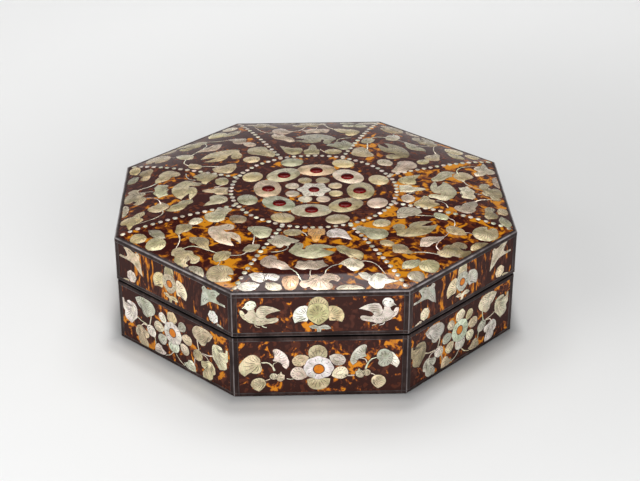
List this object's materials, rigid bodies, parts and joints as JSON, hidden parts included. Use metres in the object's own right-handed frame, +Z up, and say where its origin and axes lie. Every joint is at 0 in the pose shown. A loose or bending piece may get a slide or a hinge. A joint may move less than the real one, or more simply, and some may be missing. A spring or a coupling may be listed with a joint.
{
  "type": "octagonal inlaid shell box with lid",
  "caption": "Octagonal wooden box with a lift-off domed lid, faced in tortoiseshell plates inlaid with mother-of-pearl birds, leaves and flowers.",
  "frame": {"origin": "middle of the underside, on the surface the box stands on", "axes": "+Z up through the lid; a flat side faces -Y, and the corners lie half a side's angle either way from each axis"},
  "size_m": [0.3632, 0.3632, 0.1141],
  "materials": {
    "wood": "dark lacquered wood, satin",
    "tortoiseshell": "polished tortoiseshell, amber with dark brown mottling",
    "horn": "dark grey-brown horn strip, satin, worn at the arris",
    "red_glass": "deep red, domed and polished",
    "shell": "mother-of-pearl, cream with green and pink lustre, engraved with hairlines",
    "amber": "clear amber-coloured disc over bright ground"
  },
  "bodies": {
    "root": {"box_carcass": "wood", "lid_carcass": "wood", "body_foot_edging": "horn", "body_rim_edging": "horn", "lid_foot_edging": "horn", "lid_top_edging": "horn", "body_corner_edging_1": "horn", "body_corner_edging_2": "horn", "body_corner_edging_3": "horn", "body_corner_edging_4": "horn", "body_corner_edging_5": "horn", "body_corner_edging_6": "horn", "body_corner_edging_7": "horn", "body_corner_edging_8": "horn", "lid_corner_edging_1": "horn", "lid_corner_edging_2": "horn", "lid_corner_edging_3": "horn", "lid_corner_edging_4": "horn", "lid_corner_edging_5": "horn", "lid_corner_edging_6": "horn", "lid_corner_edging_7": "horn", "lid_corner_edging_8": "horn", "body_side_plate_1": "tortoiseshell", "body_side_plate_2": "tortoiseshell", "body_side_plate_3": "tortoiseshell", "body_side_plate_4": "tortoiseshell", "body_side_plate_5": "tortoiseshell", "body_side_plate_6": "tortoiseshell", "body_side_plate_7": "tortoiseshell", "body_side_plate_8": "tortoiseshell", "lid_side_plate_1": "tortoiseshell", "lid_side_plate_2": "tortoiseshell", "lid_side_plate_3": "tortoiseshell", "lid_side_plate_4": "tortoiseshell", "lid_side_plate_5": "tortoiseshell", "lid_side_plate_6": "tortoiseshell", "lid_side_plate_7": "tortoiseshell", "lid_side_plate_8": "tortoiseshell", "lid_top_plate_1": "tortoiseshell", "lid_top_plate_2": "tortoiseshell", "lid_top_plate_3": "tortoiseshell", "lid_top_plate_4": "tortoiseshell", "lid_top_plate_5": "tortoiseshell", "lid_top_plate_6": "tortoiseshell", "lid_top_plate_7": "tortoiseshell", "lid_top_plate_8": "tortoiseshell", "cabochon_1": "red_glass", "cabochon_2": "red_glass", "cabochon_3": "red_glass", "cabochon_4": "red_glass", "cabochon_5": "red_glass", "cabochon_6": "red_glass", "cabochon_7": "red_glass", "cabochon_8": "red_glass", "cabochon_centre": "red_glass"}
  },
  "joints": []
}
